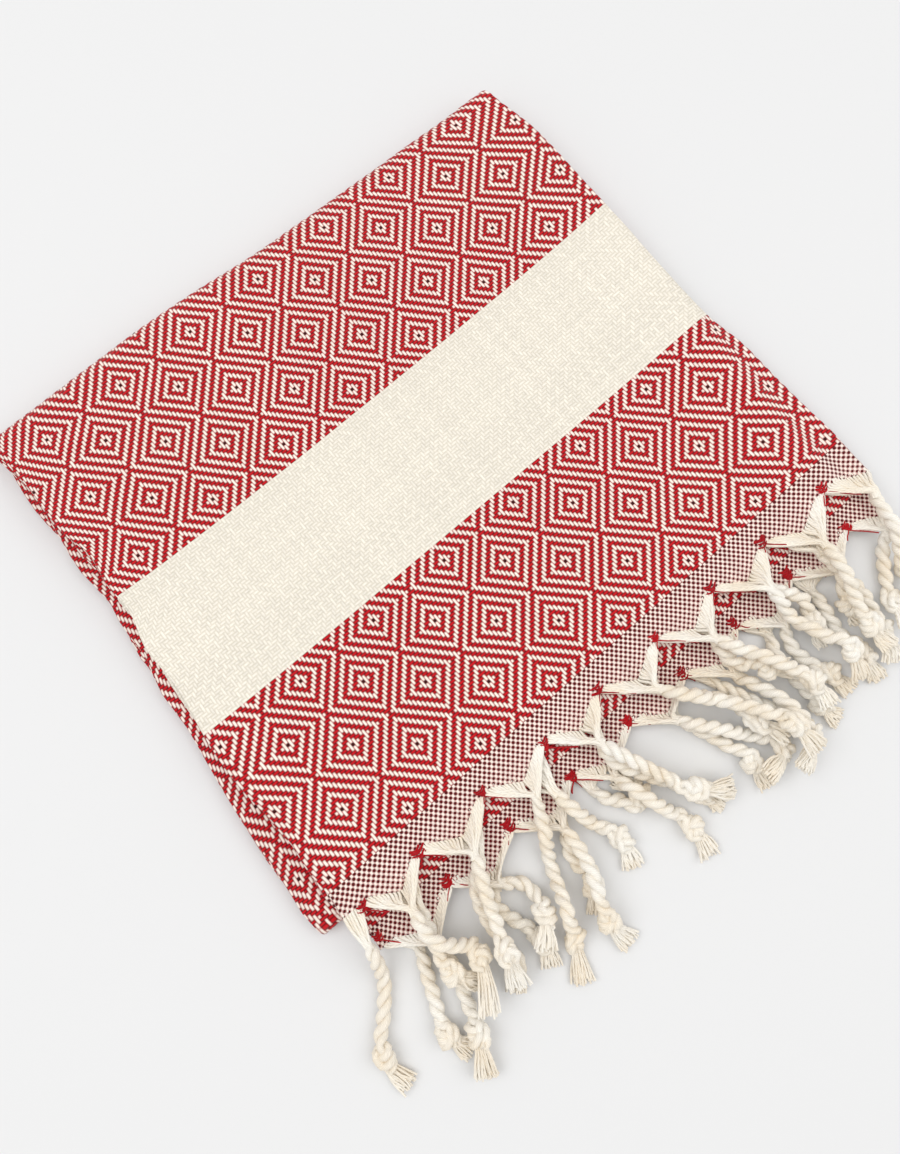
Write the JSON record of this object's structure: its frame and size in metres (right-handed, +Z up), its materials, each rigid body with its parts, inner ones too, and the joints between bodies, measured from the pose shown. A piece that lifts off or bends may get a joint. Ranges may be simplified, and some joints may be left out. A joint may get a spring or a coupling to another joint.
{
  "type": "folded hand towel",
  "caption": "Woven cotton hand towel folded into a flat stack, with knotted cord fringes on both hems at one side.",
  "frame": {"origin": "on the table, under the middle of the box of the towel with its fringes", "axes": "+Z up; +X along the weft towards the lengthwise fold; +Y along the warp, away from the fringes"},
  "size_m": [0.289, 0.308, 0.0208],
  "materials": {
    "cloth": "diamond twill of red weft on cream warp",
    "fringe": "twisted cream cotton yarn, knotted"
  },
  "bodies": {
    "root": {"towel_cloth": "cloth", "fringe_upper_end": "fringe", "fringe_lower_end": "fringe"}
  },
  "joints": []
}
